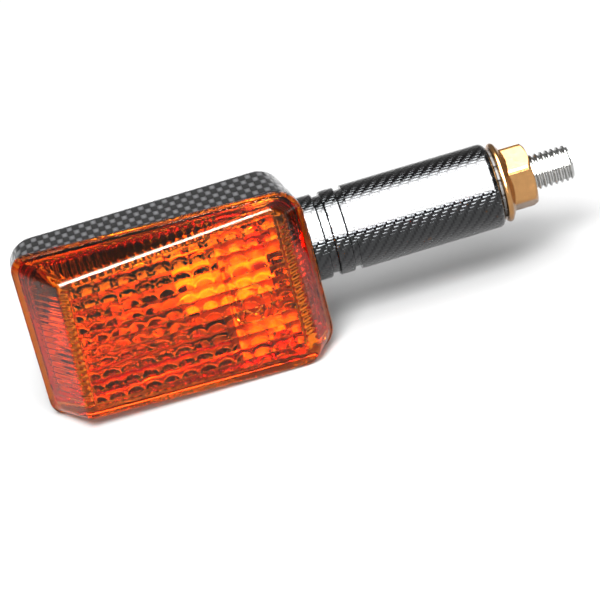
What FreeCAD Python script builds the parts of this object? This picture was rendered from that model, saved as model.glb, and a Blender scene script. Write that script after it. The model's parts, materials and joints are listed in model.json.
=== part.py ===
import FreeCAD, Part
import math
import os

# Motorcycle turn signal indicator: a rectangular head with an amber lens, on a short round stalk
# that ends in a hollow M8 stud and a flange nut. Millimetres.
#
# Frame: the origin is the centre of the seat, the flat end of the stalk that rests on the
# motorcycle's bracket. +X runs along the stud to its free end, the head is on the -X side,
# the lens faces -Y and +Z is up.

# --- driving dimensions ------------------------------------------------------------------------
STALK_R = 9.5
STALK_LENGTH = 43.4             # seat to the head
HEAD_LENGTH = 63.9
HEAD_HALF_HEIGHT = 19.5
HEAD_DROP = 1.5                 # the head's middle lies this far below the stalk's axis
FACE_Y = -17.5                  # flat front face of the lens
BACK_Y = 10.5                   # back of the housing
PARTING_OUT_Y = -3.9            # parting plane at the head's outer end
PARTING_IN_Y = -10.2            # parting plane at the stalk end, just in front of the stalk
WALL = 2.2
CORNER_OUT_R = 3.6              # corners of the head in the front view: at the outer end
CORNER_IN_R = 5.6               # and at the stalk end
BACK_ROUND_R = 5.0
FACE_OUT_INSET = (7.2, 8.5)     # lens face from the head's outer end: along the bottom, along the top
FACE_IN_INSET = 4.4             # lens face from the stalk end
FACE_HALF_HEIGHT = (17.0, 15.9, 19.5)  # outer end below and above the middle, stalk end

SEAT_ROUND_R = 1.6
GROOVE_DEPTH = 0.8
GROOVE_WIDTH = 1.5
RING_WIDTH = 3.6

THREAD_R = 3.98                 # M8 x 1.25
THREAD_UNDER_NUT_R = 3.88
THREAD_HOLE_R = 4.04
STUD_END_X = 17.5
WIRE_BORE_R = 2.2
GROMMET_SEAT_R = 3.2
GROMMET_DEPTH = 3.0
NUT_FLATS = 13.0

BULB_Y = -2.8                   # the bulb lies along X, behind the middle of the lens
BULB_R = 9.0
CAP_R = 7.55                    # BA15s cap
SOCKET_R = 8.5
BULB_PRESS = 1.8                # how far the bulb is pushed in before it comes free
BULB_TURN_DEG = 30.0

LENS_SCREW_X = -54.6
LENS_SCREW_SPREAD = 12.8        # each side of the head's middle
PLATE = 0.8                     # sheet metal

# --- derived places ----------------------------------------------------------------------------
HEAD_IN_X = -STALK_LENGTH
HEAD_OUT_X = HEAD_IN_X - HEAD_LENGTH
HEAD_Z = -HEAD_DROP
PARTING_SLOPE = (PARTING_IN_Y - PARTING_OUT_Y) / HEAD_LENGTH
GASKET_THICK = 0.6
HOUSING_INSET = 0.3             # the lens's rim stands this far proud of the housing
SIDE_WALL_X = HEAD_IN_X - HOUSING_INSET - WALL   # inner face of the wall that the stalk bolts to

BACK = FreeCAD.Vector(0, 1, 0)
ALONG = FreeCAD.Vector(1, 0, 0)


def point(x, y, z):
    return FreeCAD.Vector(x, y, z)


# --- plain shapes ------------------------------------------------------------------------------
def rod_x(radius, x0, x1, y=0.0, z=0.0):
    """A round bar along X."""
    return Part.makeCylinder(radius, x1 - x0, point(x0, y, z), ALONG)


def rod_y(radius, y0, y1, x, z):
    """A round bar along Y."""
    return Part.makeCylinder(radius, y1 - y0, point(x, y0, z), BACK)


def block(x0, x1, y0, y1, z0, z1):
    return Part.makeBox(x1 - x0, y1 - y0, z1 - z0, point(x0, y0, z0))


def turned(profile, y=0.0, z=0.0):
    """A solid turned about the X axis from (x, radius) corners."""
    corners = [point(x, y, z + r) for x, r in profile]
    face = Part.Face(Part.makePolygon(corners + corners[:1]))
    return face.revolve(point(0, y, z), ALONG, 360)


def round_edges(shape, place, axis="x"):
    """The circular edges whose centre is at place along an axis."""
    circles = [e for e in shape.Edges if isinstance(e.Curve, Part.Circle)]
    return [e for e in circles if abs(getattr(e.Curve.Center, axis) - place) < 1e-6]


def joined(shapes):
    return shapes[0].multiFuse(shapes[1:]).removeSplitter()


def hexagon_x(flats, x0, x1, y=0.0, z=0.0, turn_deg=0.0):
    """A hexagonal bar along X."""
    corner_r = flats / 2 / math.cos(math.pi / 6)
    angles = [math.radians(60 * i + turn_deg) for i in range(7)]
    ring = [point(x0, y + corner_r * math.cos(a), z + corner_r * math.sin(a)) for a in angles]
    return Part.Face(Part.makePolygon(ring)).extrude(ALONG * (x1 - x0))


# --- outlines of the head in the front view ----------------------------------------------------
def rounded_outline(corners, radii, depth_at):
    """A closed wire through (x, z) corners with rounded corners, at the depth depth_at(x)."""
    edges = []
    count = len(corners)
    ends = []
    for i, (x, z) in enumerate(corners):
        before = FreeCAD.Vector(*corners[i - 1], 0) - FreeCAD.Vector(x, z, 0)
        after = FreeCAD.Vector(*corners[(i + 1) % count], 0) - FreeCAD.Vector(x, z, 0)
        before.normalize()
        after.normalize()
        half = before.getAngle(after) / 2
        setback = radii[i] / math.tan(half)
        to_centre = before + after
        to_centre.normalize()
        middle = to_centre * (radii[i] / math.sin(half) - radii[i])
        spots = (before * setback, middle, after * setback)
        ends.append([point(x + s.x, depth_at(x + s.x), z + s.y) for s in spots])
    for i, (start, middle, stop) in enumerate(ends):
        edges.append(Part.Arc(start, middle, stop).toShape())
        edges.append(Part.makeLine(stop, ends[(i + 1) % count][0]))
    return Part.Wire(edges)


def box_corners(x_out, x_in, half):
    """Corners of an upright rectangle about the head's middle height."""
    low, high = HEAD_Z - half, HEAD_Z + half
    return [(x_out, low), (x_in, low), (x_in, high), (x_out, high)]


def head_outline(inset, depth_at, least_r=1.5):
    """The head's front-view outline, shrunk all round by inset."""
    corners = box_corners(HEAD_OUT_X + inset, HEAD_IN_X - inset, HEAD_HALF_HEIGHT - inset)
    full = (CORNER_OUT_R, CORNER_IN_R, CORNER_IN_R, CORNER_OUT_R)
    radii = [max(r - inset, least_r) for r in full]
    return rounded_outline(corners, radii, depth_at)


def face_outline(inset, y):
    """The lens's front face: shorter at the outer end than at the stalk end."""
    x_low, x_high = (HEAD_OUT_X + i + inset for i in FACE_OUT_INSET)
    x_in = HEAD_IN_X - FACE_IN_INSET - inset
    low, high, in_half = (half - inset for half in FACE_HALF_HEIGHT)
    corners = [(x_low, HEAD_Z - low), (x_in, HEAD_Z - in_half)]
    corners += [(x_in, HEAD_Z + in_half), (x_high, HEAD_Z + high)]
    radii = [max(r - inset, 0.6) for r in (1.0, 3.6, 3.6, 1.0)]
    return rounded_outline(corners, radii, lambda x: y)


def parting_y(offset):
    """Depth along the slanted parting plane, moved by offset."""
    return lambda x: PARTING_OUT_Y + (x - HEAD_OUT_X) * PARTING_SLOPE + offset


def between(first, second):
    """A solid with straight walls between two outlines."""
    return Part.makeLoft([first, second], True, True)


def slab(inset, front, back, least_r=1.5):
    """The head's outline between two depths, both counted from the parting plane."""
    ends = [head_outline(inset, parting_y(offset), least_r) for offset in (front, back)]
    return between(*ends)


# --- lens --------------------------------------------------------------------------------------
SKIRT = 1.7                     # depth of the lens's plain edge band
SPIGOT_IN = 1.6                 # how far the lens reaches into the housing
SPIGOT_INSET = 3.5
SPIGOT_WALL = 1.0
SPIGOT_CORNER_R = 4.4
LENS_FACE_THICK = 2.2
LENS_WALL = 2.0
POST_R = 2.8
POST_END_Y = 0.7


def lens_screw_places():
    return {"upper": HEAD_Z + LENS_SCREW_SPREAD, "lower": HEAD_Z - LENS_SCREW_SPREAD}


def lens_screw_rods(radius, y0, y1):
    """One round bar on the axis of each lens screw."""
    return [rod_y(radius, y0, y1, LENS_SCREW_X, z) for z in lens_screw_places().values()]


def lens():
    rim = -GASKET_THICK / 2
    skirt = slab(0.0, rim - SKIRT, rim)
    dome = between(head_outline(0.4, parting_y(rim - SKIRT + 0.4)), face_outline(0.0, FACE_Y))
    spigot = slab(SPIGOT_INSET, rim - 0.5, SPIGOT_IN, SPIGOT_CORNER_R)
    inner = SPIGOT_INSET + SPIGOT_WALL
    ledge = 0.3
    hollow_base = head_outline(inner + ledge, parting_y(rim - SKIRT + 0.5))
    hollow = between(hollow_base, face_outline(LENS_WALL, FACE_Y + LENS_FACE_THICK))
    mouth = slab(inner, rim - SKIRT, SPIGOT_IN + 1, SPIGOT_CORNER_R - SPIGOT_WALL)
    shell = joined([skirt, dome, spigot]).cut(joined([hollow, mouth]))
    shell = joined([shell] + lens_screw_rods(POST_R, FACE_Y + 1.5, POST_END_Y))
    return shell.cut(lens_screw_rods(SCREW_R + 0.05, -8.5, POST_END_Y + 1))


def lens_gasket():
    band = slab(0.4, -GASKET_THICK / 2, GASKET_THICK / 2)
    return band.cut(slab(2.4, -GASKET_THICK, GASKET_THICK))


# --- rear housing ------------------------------------------------------------------------------
DRAFT = math.tan(math.radians(5.6))
SEAM_Y = -7.0                   # depth at which the housing has its stated outline
OUTER_END_PROUD = 0.2           # the outer end has no draft and less inset
BOSS_R = 3.4
BOSS_FRONT_Y = 1.0
HEAD_SEAT_Y = 6.4               # floor of the counterbores of the lens screws
SPIGOT_HALF = 5.2                # half the side of the stalk's square spigot


def housing_block(inset, back_y, round_r):
    """The housing's drafted body with rounded back edges, up to well in front of the parting plane."""
    def outline(y):
        shrink = inset + (y - SEAM_Y) * DRAFT
        x_out = HEAD_OUT_X + inset - OUTER_END_PROUD
        corners = box_corners(x_out, HEAD_IN_X - shrink, HEAD_HALF_HEIGHT - shrink)
        return rounded_outline(corners, [round_r + 0.8] * 4, lambda x: y)

    body = between(outline(-16.0), outline(back_y))
    rim = [e for e in body.Edges if all(abs(v.Y - back_y) < 1e-6 for v in e.Vertexes)]
    return body.makeFillet(round_r, rim)


def behind_parting(offset):
    """Everything behind the parting plane."""
    far = 200.0
    corners = [(HEAD_OUT_X - 20, 0), (HEAD_IN_X + 20, 0)]
    depth = parting_y(offset)
    edge = [point(x, depth(x), -far) for x, _ in corners]
    loop = edge + [p + BACK * far for p in reversed(edge)]
    return Part.Face(Part.makePolygon(loop + loop[:1])).extrude(point(0, 0, 2 * far))


def rear_housing():
    outer = housing_block(HOUSING_INSET, BACK_Y, BACK_ROUND_R)
    cavity = housing_block(HOUSING_INSET + WALL, BACK_Y - WALL, BACK_ROUND_R - WALL)
    bosses = lens_screw_rods(BOSS_R, BOSS_FRONT_Y, BACK_Y - 1)
    pads = [rod_y(2.6, BRACKET_BACK_Y, BACK_Y - 1, x, z) for x, z in plate_screw_places()]
    shell = joined([outer.cut(cavity)] + [b.common(outer) for b in bosses + pads])
    shell = shell.common(behind_parting(GASKET_THICK / 2))
    shell = shell.cut(lens_screw_rods(SCREW_R + 0.25, -2, BACK_Y))
    shell = shell.cut(lens_screw_rods(SCREW_HEAD_R + 0.4, HEAD_SEAT_Y, BACK_Y + 1))
    for x, z in plate_screw_places():
        shell = shell.cut(rod_y(SMALL_SCREW_R + 0.02, 0, PLATE_SCREW_TIP_Y + 0.2, x, z))
    seat = rod_x(STALK_R - 0.4, SIDE_WALL_X, HEAD_IN_X)
    wall = joined([shell, seat.common(behind_parting(GASKET_THICK / 2))])
    wall = wall.cut(block(SIDE_WALL_X - 1.8, SIDE_WALL_X, -7.6, 7.6, -7.6, 7.6))
    key = spigot_bar(HEAD_IN_X - 4, HEAD_IN_X + 1, 0.1)
    below = point(HEAD_OUT_X + 16, 2.5, HEAD_Z - HEAD_HALF_HEIGHT - 3)
    drain = Part.makeCylinder(1.0, 10, below, point(0, 0, 1))
    return wall.cut(key).cut(drain)


# --- stalk and its stud ------------------------------------------------------------------------
STUD_FLAT_X = (-36.0, -12.0)     # two flats that keep the stud from turning in the stalk
STUD_FLATS = 6.8
STUD_IN_X = SIDE_WALL_X - 4.9
STUD_NECK_X = (8.5, 9.1)              # relief between the nut's thread and the free one
STUD_NECK_R = 3.6


def spigot_bar(x0, x1, clearance):
    """The square bar that keys the stalk into the housing."""
    half = SPIGOT_HALF + clearance
    return block(x0, x1, -half, half, -half, half)


def stalk():
    ring_edge = 0.5
    main_in = HEAD_IN_X + 2 * (RING_WIDTH + GROOVE_WIDTH)
    body = rod_x(STALK_R, main_in, 0)
    body = body.makeFillet(SEAT_ROUND_R, round_edges(body, 0))
    pieces = [body, rod_x(STALK_R - GROOVE_DEPTH, HEAD_IN_X, main_in + 1)]
    for i in range(2):
        start = HEAD_IN_X + i * (RING_WIDTH + GROOVE_WIDTH)
        ring = rod_x(STALK_R, start, start + RING_WIDTH)
        rims = round_edges(ring, start) + round_edges(ring, start + RING_WIDTH)
        pieces.append(ring.makeFillet(ring_edge, rims))
    pieces.append(spigot_bar(SIDE_WALL_X, HEAD_IN_X + 1, 0.0))
    return joined(pieces).cut(stud_blank(0.03))


def stud_blank(clearance=0.0):
    """The stud with no wire bore: the space it takes in the stalk."""
    inner = rod_x(THREAD_UNDER_NUT_R + clearance, STUD_IN_X, STUD_NECK_X[0])
    half = STUD_FLATS / 2 + clearance
    for y0, y1 in ((-9, -half), (half, 9)):
        inner = inner.cut(block(*STUD_FLAT_X, y0, y1, -9, 9))
    neck = rod_x(STUD_NECK_R, *STUD_NECK_X)
    free = turned([(STUD_NECK_X[1], 0), (STUD_NECK_X[1], THREAD_R), (STUD_END_X - 0.7, THREAD_R),
                   (STUD_END_X, THREAD_R - 0.7), (STUD_END_X, 0)])
    return joined([inner, neck, free])


def mounting_stud():
    """The hollow stud, with a wider end inside the head for the grommet."""
    bore = rod_x(WIRE_BORE_R, STUD_IN_X - 1, STUD_END_X + 1)
    return stud_blank().cut(bore).cut(rod_x(GROMMET_SEAT_R, STUD_IN_X - 1, STUD_IN_X + GROMMET_DEPTH))


# --- nuts and washers on the stud --------------------------------------------------------------
OUTER_WASHER = (0.0, 0.5)
NUT_X = (0.5, 8.1)
FLANGE_R = 8.95
INNER_WASHER_X = (SIDE_WALL_X - 1.0, SIDE_WALL_X)
INNER_NUT_X = (SIDE_WALL_X - 4.4, SIDE_WALL_X - 1.0)
NUT_TURN_DEG = 24.0


def mounting_nut():
    x0, x1 = NUT_X
    corner_r = NUT_FLATS / 2 / math.cos(math.pi / 6)
    flange = turned([(x0, 0), (x0, FLANGE_R - 0.3), (x0 + 0.3, FLANGE_R), (x0 + 1.1, FLANGE_R),
                     (x0 + 1.4, FLANGE_R - 0.3), (x0 + 2.4, NUT_FLATS / 2), (x0 + 2.4, 0)])
    crown = turned([(x0, 0), (x0, corner_r + 1), (x1 - 0.6, corner_r + 0.1),
                    (x1, corner_r - 0.9), (x1, 0)])
    body = joined([hexagon_x(NUT_FLATS, x0 + 0.5, x1, turn_deg=NUT_TURN_DEG).common(crown), flange])
    lead_in = turned([(x1 - 0.7, 0), (x1 - 0.7, THREAD_HOLE_R), (x1, THREAD_HOLE_R + 0.7), (x1, 0)])
    return body.cut(rod_x(THREAD_HOLE_R, x0 - 1, x1 + 1)).cut(lead_in)


def mounting_lock_washer():
    """A lock washer with teeth round its outer edge."""
    x0, x1 = OUTER_WASHER
    washer = rod_x(7.6, x0, x1)
    teeth = 14
    for i in range(teeth):
        a = 2 * math.pi * i / teeth
        notch = rod_x(0.55, x0 - 1, x1 + 1, 7.5 * math.cos(a), 7.5 * math.sin(a))
        washer = washer.cut(notch)
    return washer.cut(rod_x(THREAD_HOLE_R + 0.1, x0 - 1, x1 + 1))


def stud_inner_nut():
    x0, x1 = INNER_NUT_X
    return hexagon_x(NUT_FLATS, x0, x1, turn_deg=30).cut(rod_x(THREAD_UNDER_NUT_R + 0.03, x0 - 1, x1 + 1))


def stud_inner_washer():
    x0, x1 = INNER_WASHER_X
    return rod_x(7.3, x0, x1).cut(rod_x(THREAD_UNDER_NUT_R + 0.2, x0 - 1, x1 + 1))


def wire_grommet():
    """The rubber sleeve that keeps the wires off the stud's inner edge."""
    x = STUD_IN_X
    hole_r = WIRE_BORE_R + 0.4
    outer = [(x - 0.8, 3.6), (x, 3.6), (x, GROMMET_SEAT_R), (x + GROMMET_DEPTH, GROMMET_SEAT_R)]
    return turned([(x - 0.8, hole_r)] + outer + [(x + GROMMET_DEPTH, hole_r)])


# --- screws ------------------------------------------------------------------------------------
SCREW_R = 1.4
SCREW_HEAD_R = 2.6
SMALL_SCREW_R = 1.1
SEAL_THICK = 0.7
PLATE_SCREW_TIP_Y = 9.8


def cross_slot(x, z, y0, y1, reach):
    """The cross recess of a screw head."""
    across = block(x - reach, x + reach, y0, y1, z - 0.3, z + 0.3)
    upright = block(x - 0.3, x + 0.3, y0, y1, z - reach, z + reach)
    return joined([across, upright])


def lens_screw(z):
    seat = HEAD_SEAT_Y + SEAL_THICK
    head = rod_y(SCREW_HEAD_R, seat, seat + 1.8, LENS_SCREW_X, z)
    head = head.makeFillet(0.9, round_edges(head, seat + 1.8, "y"))
    shank = rod_y(SCREW_R, -7.5, seat + 0.1, LENS_SCREW_X, z)
    return joined([head, shank]).cut(cross_slot(LENS_SCREW_X, z, seat + 0.8, seat + 3, 1.5))


def lens_screw_seal(z):
    ring = rod_y(SCREW_HEAD_R + 0.1, HEAD_SEAT_Y, HEAD_SEAT_Y + SEAL_THICK, LENS_SCREW_X, z)
    return ring.cut(rod_y(SCREW_R + 0.06, 0, 20, LENS_SCREW_X, z))


def small_screw(x, z, seat_y):
    """A small screw driven from the front, with its head on the plate at seat_y."""
    head = rod_y(2.0, seat_y - 1.2, seat_y, x, z)
    head = head.makeFillet(0.5, round_edges(head, seat_y - 1.2, "y"))
    shank = rod_y(SMALL_SCREW_R, seat_y - 0.1, PLATE_SCREW_TIP_Y, x, z)
    return joined([head, shank]).cut(cross_slot(x, z, seat_y - 2, seat_y - 0.6, 1.1))


# --- bracket and reflector ---------------------------------------------------------------------
BRACKET_X = (-64.1, -63.3)      # the upright plate that carries the socket
BRACKET_FRONT_Y = -12.6
LUG_FRONT_Y = -10.4             # lugs beside the socket, round the lens's screw posts
LUG_START = 6.5
LUG_END_X = -50.0
FOOT_END_X = -58.5
REFLECTOR_BACK_Y = 7.8
BRACKET_BACK_Y = REFLECTOR_BACK_Y
FOOT_FRONT_Y = REFLECTOR_BACK_Y - 2 * PLATE
REFLECTOR_X = (-98.6, -65.1)
REFLECTOR_SCREW_X = -96.5
BRACKET_SCREW_X = -61.1
BRACKET_SCREW_SPREAD = 11.5


def plate_screw_places():
    """(x, z) of the screws that hold the bracket and the reflector to the housing."""
    bracket = [(BRACKET_SCREW_X, HEAD_Z + side * BRACKET_SCREW_SPREAD) for side in (-1, 1)]
    return bracket + [(REFLECTOR_SCREW_X, HEAD_Z)]


def socket_bracket():
    x0, x1 = BRACKET_X
    upright = block(x0, x1, BRACKET_FRONT_Y, FOOT_FRONT_Y + PLATE, HEAD_Z - 13.6, HEAD_Z + 13.6)
    lug = block(x0, LUG_END_X, LUG_FRONT_Y, LUG_FRONT_Y + PLATE, HEAD_Z - 14.6, HEAD_Z + 14.6)
    lugs = lug.cut(block(x1, 0, -20, 0, HEAD_Z - LUG_START, HEAD_Z + LUG_START))
    foot = block(x0, FOOT_END_X, FOOT_FRONT_Y, FOOT_FRONT_Y + PLATE, HEAD_Z - 13.6, HEAD_Z + 13.6)
    plate = joined([upright, lugs, foot]).cut(bulb_rod(SOCKET_R + 0.03, x0 - 1, x1 + 1))
    for z in lens_screw_places().values():
        plate = plate.cut(rod_y(POST_R + 0.25, LUG_FRONT_Y - 1, LUG_FRONT_Y + 2, LENS_SCREW_X, z))
    for x, z in plate_screw_places()[:2]:
        plate = plate.cut(rod_y(SMALL_SCREW_R, 0, 20, x, z))
    return plate


def bracket_screws():
    return Part.makeCompound([small_screw(x, z, FOOT_FRONT_Y) for x, z in plate_screw_places()[:2]])


def trough_section(radius, x):
    """The reflector's curve behind the bulb: an arc with a straight wing at each end, as three edges."""
    half = math.radians(50)
    wing = 9.4

    def at(angle, out=0.0):
        y = BULB_Y + radius * math.cos(angle) - out * math.sin(abs(angle))
        z = HEAD_Z + radius * math.sin(angle) + math.copysign(out * math.cos(angle), angle)
        return point(x, y, z)

    arc = Part.Arc(at(-half), at(0.0), at(half)).toShape()
    return [Part.makeLine(at(-half, wing), at(-half)), arc, Part.makeLine(at(half), at(half, wing))]


def reflector():
    """A bright trough behind the bulb, with a tab that the bracket's foot clamps."""
    x0, x1 = REFLECTOR_X
    outer_r = REFLECTOR_BACK_Y - BULB_Y
    outer = trough_section(outer_r, x0)
    inner = trough_section(outer_r - PLATE, x0)
    ends = [Part.makeLine(outer[0].Vertexes[0].Point, inner[0].Vertexes[0].Point),
            Part.makeLine(outer[2].Vertexes[1].Point, inner[2].Vertexes[1].Point)]
    wire = Part.Wire(Part.__sortEdges__(outer + inner + ends))
    trough = Part.Face(wire).extrude(ALONG * (x1 - x0))
    tab = block(x1 - 2, FOOT_END_X, FOOT_FRONT_Y + PLATE, REFLECTOR_BACK_Y, HEAD_Z - 13.6, HEAD_Z + 13.6)
    neck = tab.common(block(x1 - 2, BRACKET_X[0], 0, 20, HEAD_Z - 3, HEAD_Z + 3))
    wide = tab.common(block(BRACKET_X[0], 0, 0, 20, HEAD_Z - 20, HEAD_Z + 20))
    plate = joined([trough, neck, wide])
    for x, z in plate_screw_places():
        plate = plate.cut(rod_y(SMALL_SCREW_R, 0, 20, x, z))
    return plate


def reflector_screw():
    x, z = plate_screw_places()[2]
    return small_screw(x, z, REFLECTOR_BACK_Y - PLATE - 0.25)


# --- bulb socket -------------------------------------------------------------------------------
SOCKET_X = (-71.6, -53.5)
SOCKET_BORE_R = 7.63
PIN_X = -67.7
PIN_R = 1.0
SLOT_GAP = 0.3
BASE_X = (-54.5, -53.5)
DISC_X = (-58.9, -57.7)
PLUNGER_TIP_X = -59.7


def on_bulb_axis(x, radius, angle_deg):
    """A point beside the bulb's axis; the angle turns about +X from +Z."""
    a = math.radians(angle_deg)
    return point(x, BULB_Y - radius * math.sin(a), HEAD_Z + radius * math.cos(a))


def bulb_turned(profile):
    """A solid turned about the bulb's axis from (x, radius) corners."""
    return turned(profile, BULB_Y, HEAD_Z)


def bulb_rod(radius, x0, x1):
    """A round bar on the bulb's axis."""
    return rod_x(radius, x0, x1, BULB_Y, HEAD_Z)


def pin(x, radius, inner, outer, angle_deg):
    """A round pin that stands out from the bulb's axis."""
    start = on_bulb_axis(x, inner, angle_deg)
    outward = on_bulb_axis(x, 1, angle_deg) - on_bulb_axis(x, 0, 0)
    return Part.makeCylinder(radius, outer - inner, start, outward)


def bayonet_slot(start_deg):
    """A slanted slot that turns the bulb as it is pushed in, and a straight one out to the mouth."""
    steps = 8
    width = PIN_R + SLOT_GAP
    cuts = []
    for i in range(steps + 1):
        share = i / steps
        x = PIN_X + BULB_PRESS * share
        cuts.append(pin(x, width, SOCKET_BORE_R - 1, SOCKET_R + 1, start_deg + BULB_TURN_DEG * share))
    gate = block(SOCKET_X[0] - 1, PIN_X + BULB_PRESS, -width, width, SOCKET_BORE_R - 1, SOCKET_R + 1)
    gate.rotate(point(0, 0, 0), ALONG, start_deg + BULB_TURN_DEG)
    gate.translate(point(0, BULB_Y, HEAD_Z))
    return joined(cuts + [gate])


def socket_shell():
    x0, x1 = SOCKET_X
    shell = bulb_rod(SOCKET_R, x0, x1).cut(bulb_rod(SOCKET_BORE_R, x0 - 1, x1 + 1))
    for start_deg in (0, 180):
        shell = shell.cut(bayonet_slot(start_deg))
    return shell


def socket_base():
    disc = bulb_rod(SOCKET_BORE_R, *BASE_X)
    return disc.cut(bulb_rod(1.2, BASE_X[0] - 1, BASE_X[1] + 1))


def feed_terminal():
    """The riveted tab that the supply wire is soldered to."""
    rivet = [bulb_rod(1.8, BASE_X[0] - 0.5, BASE_X[0]), bulb_rod(1.2, BASE_X[0], BASE_X[1])]
    tab = block(BASE_X[1], BASE_X[1] + 0.5, BULB_Y - 1.6, BULB_Y + 1.6, HEAD_Z - 6.5, HEAD_Z + 2)
    return joined(rivet + [tab])


def ground_tab():
    """The earth tab on the back of the bracket's upright."""
    x = BRACKET_X[1]
    foot = block(x, x + 0.6, -9.5, -4.5, HEAD_Z + 9.6, HEAD_Z + 13.0)
    spade = block(x, x + 4.0, -5.1, -4.5, HEAD_Z + 9.6, HEAD_Z + 13.0)
    return joined([foot, spade])


def contact_disc():
    disc = bulb_rod(SOCKET_BORE_R - 0.15, *DISC_X)
    return disc.cut(bulb_rod(1.4, DISC_X[0] - 1, DISC_X[1] + 1))


def contact_plunger():
    button = bulb_rod(2.4, PLUNGER_TIP_X, DISC_X[0])
    stem = bulb_rod(1.4, DISC_X[0], DISC_X[1] + 0.4)
    return joined([button, stem])


def contact_spring():
    """The coil that presses the contact onto the bulb, in short straight lengths of wire."""
    wire_r = 0.3
    coil_r = 4.6
    turns = 3
    steps = 20 * turns
    x0 = DISC_X[1] + wire_r + 0.05
    x1 = BASE_X[0] - wire_r - 0.05
    rise = (x1 - x0) / steps
    sections = []
    for i in range(steps + 1):
        angle = 360 * turns * i / steps
        middle = on_bulb_axis(x0 + rise * i, coil_r, angle)
        ahead = on_bulb_axis(rise, coil_r * math.radians(360 * turns / steps), angle + 90)
        heading = ahead - on_bulb_axis(0, 0, 0)
        sections.append(Part.Wire(Part.makeCircle(wire_r, middle, heading)))
    return Part.makeLoft(sections, True, True)


# --- bulb --------------------------------------------------------------------------------------
CAP_X = (-73.7, -61.7)
GLASS_CENTRE_X = -86.3
GLASS_NECK_R = 6.4
GLASS_WALL = 0.7
FILAMENT_X = -85.1


def glass_form(radius, neck_r, x1):
    ball = Part.makeSphere(radius, point(GLASS_CENTRE_X, BULB_Y, HEAD_Z))
    return joined([ball, bulb_rod(neck_r, GLASS_CENTRE_X, x1)])


def bulb_glass():
    outer = glass_form(BULB_R, GLASS_NECK_R, CAP_X[0] + 2.2)
    return outer.cut(glass_form(BULB_R - GLASS_WALL, GLASS_NECK_R - GLASS_WALL, CAP_X[0] + 1.5))


def bulb_cap():
    x0, x1 = CAP_X
    shell = bulb_rod(CAP_R, x0, x1).cut(bulb_rod(CAP_R - 0.5, x0 - 1, x1 - 0.6))
    collar = bulb_rod(CAP_R - 0.2, x0, x0 + 2.2).cut(bulb_rod(GLASS_NECK_R, x0 - 1, x0 + 3))
    pins = [pin(PIN_X, PIN_R, CAP_R - 0.4, SOCKET_R - 0.05, a) for a in (0, 180)]
    return joined([shell, collar] + pins).cut(bulb_rod(5.8, x1 - 1, x1 + 1))


def bulb_insulator():
    x = CAP_X[1]
    return bulb_turned([(x - 0.6, 0), (x - 0.6, 5.8), (x, 5.8), (x + 1.2, 3.0), (x + 1.2, 0)])


def bulb_contact():
    x = CAP_X[1] + 1.2
    return bulb_turned([(x, 0), (x, 2.2), (x + 0.5, 1.9), (x + 0.8, 1.0), (x + 0.8, 0)])


def bulb_stem():
    x = CAP_X[0] + 1.5
    return bulb_turned([(x, 0), (x, 5.4), (x - 0.8, 2.4), (x - 5.5, 2.0), (x - 6.0, 1.4), (x - 6.0, 0)])


def bulb_supports():
    """The two wires that carry the filament."""
    x = CAP_X[0] - 4.5
    wires = []
    for side in (-1, 1):
        foot = point(x, BULB_Y, HEAD_Z + side * 1.2)
        tip = point(FILAMENT_X, BULB_Y, HEAD_Z + side * 3.2)
        wires.append(Part.makeCylinder(0.25, (tip - foot).Length, foot, tip - foot))
    return Part.makeCompound([w.cut(bulb_stem()) for w in wires])


def bulb_filament():
    span = 2.9
    low = point(FILAMENT_X, BULB_Y, HEAD_Z - span)
    high = point(FILAMENT_X, BULB_Y, HEAD_Z + span)
    top = point(FILAMENT_X - 1.6, BULB_Y, HEAD_Z)
    path = Part.Wire(Part.Arc(low, top, high).toShape())
    start = path.Edges[0]
    section = Part.Wire(Part.makeCircle(0.35, low, start.tangentAt(start.FirstParameter)))
    return path.makePipeShell([section], True, False).cut(bulb_supports())


# --- output ------------------------------------------------------------------------------------
def nodes():
    screw_z = lens_screw_places()
    made = {
        "rear_housing": rear_housing(),
        "lens": lens(),
        "lens_gasket": lens_gasket(),
        "stalk": stalk(),
        "mounting_stud": mounting_stud(),
        "stud_inner_nut": stud_inner_nut(),
        "stud_inner_washer": stud_inner_washer(),
        "wire_grommet": wire_grommet(),
        "mounting_nut": mounting_nut(),
        "mounting_lock_washer": mounting_lock_washer(),
        "socket_bracket": socket_bracket(),
        "bracket_screws": bracket_screws(),
        "reflector": reflector(),
        "reflector_screw": reflector_screw(),
        "socket_shell": socket_shell(),
        "socket_base": socket_base(),
        "feed_terminal": feed_terminal(),
        "ground_tab": ground_tab(),
        "contact_disc": contact_disc(),
        "contact_plunger": contact_plunger(),
        "contact_spring": contact_spring(),
        "bulb_glass": bulb_glass(),
        "bulb_cap": bulb_cap(),
        "bulb_insulator": bulb_insulator(),
        "bulb_contact": bulb_contact(),
        "bulb_stem": bulb_stem(),
        "bulb_supports": bulb_supports(),
        "bulb_filament": bulb_filament(),
    }
    for side, z in screw_z.items():
        made[f"lens_screw_{side}"] = lens_screw(z)
        made[f"lens_screw_seal_{side}"] = lens_screw_seal(z)
    return made


os.makedirs("parts", exist_ok=True)
for name, shape in nodes().items():
    valid = shape.isValid() and all(s.isClosed() for s in shape.Shells)
    print(f"{name}: {len(shape.Solids)} solid(s), {shape.Volume:.1f} mm3, valid {valid}")
    shape.exportStep(f"parts/{name}.step")
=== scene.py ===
import json
import math

import bpy
import numpy as np
from mathutils import Matrix, Vector


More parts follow.
